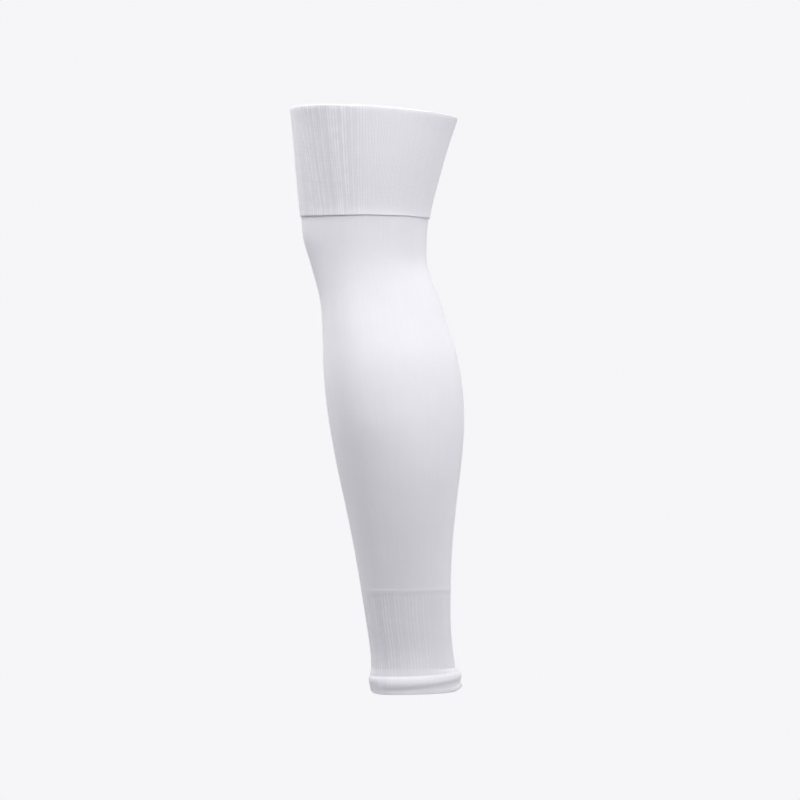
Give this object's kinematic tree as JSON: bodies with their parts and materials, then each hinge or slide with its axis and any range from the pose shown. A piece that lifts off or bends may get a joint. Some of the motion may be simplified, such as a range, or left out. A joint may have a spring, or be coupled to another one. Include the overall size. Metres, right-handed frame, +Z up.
{
  "type": "footless football sock",
  "caption": "Knitted tube for the lower leg with a ribbed turn-down cuff, plain leg, ribbed ankle and rolled hem, worn over shin and calf with a separate short sock.",
  "frame": {"origin": "centre of the ankle opening, on the axis of the leg", "axes": "+Z up the leg, +X towards the calf, -X towards the shin, +Y to one side, both sides alike"},
  "size_m": [0.1511, 0.1348, 0.5064],
  "materials": {
    "cuff_rib_knit": "fine white rib knit, matt",
    "leg_plain_knit": "very fine white plain knit, soft matt",
    "ankle_rib_knit": "fine white rib knit, matt",
    "hem_plain_knit": "white plain knit, rolled, matt"
  },
  "bodies": {
    "root": {"top_cuff": "cuff_rib_knit", "leg_tube": "leg_plain_knit", "ankle_rib": "ankle_rib_knit", "rolled_hem": "hem_plain_knit"}
  },
  "joints": []
}
